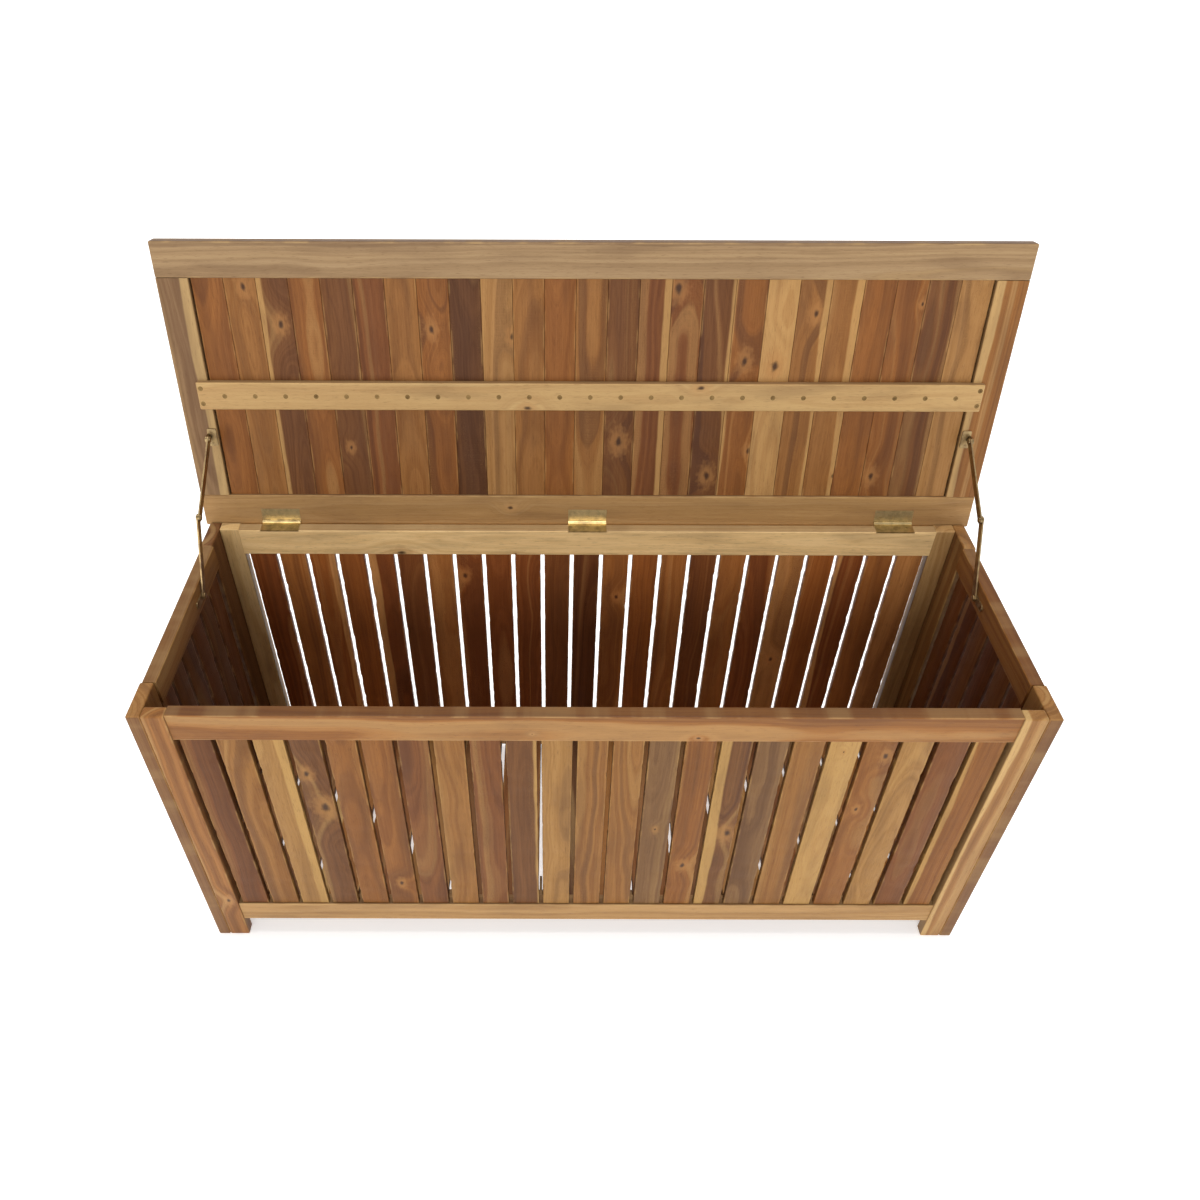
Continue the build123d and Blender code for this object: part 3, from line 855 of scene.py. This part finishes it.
@dataclass
class Lid:
    """The lid's frame, its planks and the batten across them."""

    plank_gap: float = 0.0
    plank_ease: float = 0.0009
    tint: Colour = (0.90, 0.78, 0.65)
    frame_boards: dict[str, tuple[Grain, Board]] = field(default_factory=lambda: {
        "lid_front_rail": (Grain.LENGTHWISE_FLAT, Board(Tone.ASH, 0.30, wave=0.35)),
        "lid_rear_rail": (Grain.LENGTHWISE_FLAT,
                          Board(Tone.PALE, 0.35, knots=(Knot(-0.1, -0.1, 0.004),), wave=0.35)),
        "lid_left_stile": (Grain.CROSSWISE_FLAT, Board(Tone.GREY, 0.6, (NO_STRIP, 0.014), wave=0.4)),
        "lid_right_stile": (Grain.CROSSWISE_FLAT, Board(Tone.ORANGE, 0.25, (0.010, NO_STRIP), wave=0.4)),
        "lid_batten": (Grain.LENGTHWISE_FLAT,
                       Board(Tone.SAP, 0.12, knots=(Knot(-0.08, 0.4, 0.005), Knot(0.14, -0.35, 0.005)),
                             wave=0.3)),
    })
    planks: list[Board] = field(default_factory=lambda: boards("OTBOBRTODPTOTBRRBOSTTOOBP", {
        1: {"heart": 0.6, "knots": (Knot(-0.44, 0.1, 0.006),)},
        2: {"heart": 0.8, "sap": (0.005, NO_STRIP), "knots": (Knot(-0.29, 0.1, 0.006),)},
        4: {"heart": 0.5, "knots": (Knot(0.25, -0.1, 0.004),)}, 6: {"heart": 0.3},
        7: {"heart": 0.6, "knots": (Knot(-0.27, -0.1, 0.006),)},
        9: {"knots": (Knot(-0.24, 0.46, 0.005),)},
        12: {"heart": 0.5}, 13: {"heart": 0.6, "knots": (Knot(0.22, 0.0, 0.008),)},
        14: {"sap": (NO_STRIP, 0.008)}, 15: {"heart": 0.6, "knots": (Knot(-0.44, -0.3, 0.008),)},
        16: {"heart": 0.8, "sap": (NO_STRIP, 0.003), "knots": (Knot(0.38, 0.1, 0.007),)},
        17: {"heart": 0.5, "sap": (0.003, NO_STRIP),
             "knots": (Knot(-0.14, 0.0, 0.007), Knot(0.26, 0.45, 0.005))},
        18: {"heart": 0.1, "knots": (Knot(-0.12, 0.0, 0.008),)},
        19: {"heart": 0.5, "sap": (NO_STRIP, 0.005), "knots": (Knot(-0.34, 0.1, 0.006),)},
        20: {"heart": 0.5, "sap": (NO_STRIP, 0.008), "knots": (Knot(0.38, 0.48, 0.004),)},
        22: {"knots": (Knot(-0.38, 0.4, 0.003), Knot(0.38, -0.2, 0.006))}, 23: {"heart": 0.6},
    }))

    def build(self) -> None:
        """Finish the frame and build the planks in place of the plain ones."""
        for count, (node, (grain, board)) in enumerate(self.frame_boards.items()):
            dress_board(node, board, lie_of(node, grain, True), 91.0 + 7.7 * count)
        lie = lie_of("lid_planks", Grain.CROSSWISE_FLAT, True)
        planks = BoardRow("lid_planks", "lid", "lid_plank_wood", self.planks, lie, self.plank_gap,
                          self.plank_ease, nick=0.0006, seed=131.0, tongue=0.0019)
        planks.build(WoodFinish("lid_plank_wood", tint=self.tint))


@dataclass
class Ironmongery:
    """The hinges, the folding stays and the screws."""

    hinge_brass: MetalFinish = MetalFinish("hinge_brass", (0.68, 0.52, 0.25), (0.25, 0.17, 0.08),
                                           0.32, 0.75)
    stay_brass: MetalFinish = MetalFinish("stay_brass", (0.38, 0.27, 0.13), (0.15, 0.09, 0.05),
                                          0.38, 0.85)
    screw_bronze: MetalFinish = MetalFinish("screw_bronze", (0.24, 0.15, 0.06), (0.09, 0.05, 0.02),
                                            0.42, 0.75)

    def build(self) -> None:
        """Give every metal node its finish."""
        hinge = self.hinge_brass.material()
        stay = self.stay_brass.material()
        bronze = self.screw_bronze.material()
        for node in frame["nodes"]:
            if "hinge" in node:
                dress(node, hinge)
            elif "stay" in node:
                dress(node, stay)
            elif node.endswith("screws"):
                dress(node, bronze)


# ---------------------------------------------------------------- studio

@dataclass(frozen=True)
class Sun:
    """A broad soft light: its strength, its height, its bearing from the front and its spread."""

    name: str
    strength: float
    height: float
    bearing: float
    spread: float

    def build(self) -> None:
        """Add the light."""
        light = bpy.data.lights.new(self.name, "SUN")
        light.energy = self.strength
        light.angle = self.spread
        holder = bpy.data.objects.new(self.name, light)
        bpy.context.collection.objects.link(holder)
        holder.rotation_euler = (math.pi / 2 - self.height, 0.0, self.bearing)


@dataclass
class Studio:
    """The floor, the light and the camera."""

    floor_size: float = 60.0
    floor_glow: float = 0.50
    floor_roughness: float = 0.9
    floor_gloss: float = 0.1
    paper: tuple[Colour, Colour] = ((0.90, 0.90, 0.90), (0.93, 0.93, 0.93))
    horizon: Colour = (1.0, 1.0, 1.0)
    zenith: Colour = (0.30, 0.30, 0.30)
    sky_turn: tuple[float, float] = (0.22, 0.50)
    suns: tuple[Sun, ...] = (
        Sun("front_light", 1.15, math.radians(18.0), math.radians(-6.0), math.radians(28.0)),
        Sun("top_light", 2.3, math.radians(84.0), math.radians(180.0), math.radians(24.0)),
    )
    camera_place: tuple[float, float, float] = (-0.0494, -1.0434, 1.3998)
    camera_pitch: float = math.radians(42.32)
    camera_roll: float = math.radians(0.18)
    camera_lens: float = 29.04
    camera_shift: tuple[float, float] = (0.0378, 0.0167)

    def build(self) -> None:
        """Lay the floor, light it and set the camera."""
        self._floor()
        self._sky()
        for sun in self.suns:
            sun.build()
        self._camera()

    def _floor(self) -> None:
        """A plain pale floor, the same all over, that glows a little."""
        bpy.ops.mesh.primitive_plane_add(size=self.floor_size)
        floor = bpy.context.object
        floor.name = "studio_floor"
        shader = Shader.named("studio_floor_paper")
        at = shader.node("ShaderNodeTexCoord", None, None, out="Object")
        colour = shader.blend(shader.noise(at, 3.0), *self.paper)
        paper = shader.surface(Base_Color=colour, Roughness=self.floor_roughness,
                               Specular_IOR_Level=self.floor_gloss,
                               Emission_Color=(*WHITE, 1.0), Emission_Strength=self.floor_glow)
        floor.data.materials.append(paper)

    def _sky(self) -> None:
        """A surround that is white at the horizon and dim overhead."""
        world = bpy.data.worlds.new("studio_sky")
        shader = Shader(world)
        at = shader.node("ShaderNodeTexCoord", None, None, out="Generated")
        _, _, height = at.parts()
        level = shader.blend(height.rise(*self.sky_turn), self.horizon, self.zenith)
        shader.show(shader.node("ShaderNodeBackground", None, {"Color": level, "Strength": 1.0}),
                    "ShaderNodeOutputWorld")
        bpy.context.scene.world = world
        bpy.context.scene.view_settings.view_transform = "Standard"

    def _camera(self) -> None:
        """A camera a little above the open box, looking down into it."""
        camera = bpy.data.cameras.new("camera")
        camera.sensor_width = 36.0
        camera.lens = self.camera_lens
        camera.shift_x, camera.shift_y = self.camera_shift
        camera_object = bpy.data.objects.new("camera", camera)
        bpy.context.collection.objects.link(camera_object)
        turn = Matrix.Rotation(math.pi / 2 - self.camera_pitch, 4, "X")
        roll = Matrix.Rotation(self.camera_roll, 4, "Z")
        camera_object.matrix_world = Matrix.Translation(self.camera_place) @ turn @ roll
        bpy.context.scene.camera = camera_object


def main() -> None:
    """Build and dress every sub-assembly in order."""
    logging.basicConfig(level=logging.INFO, format="%(message)s")
    for part in (BodyFrame(), SlatRows(), BoxFloor(), Lid(), Ironmongery(), Studio()):
        part.build()
        LOG.info("%s is done", type(part).__name__)


if __name__ == "__main__":
    main()
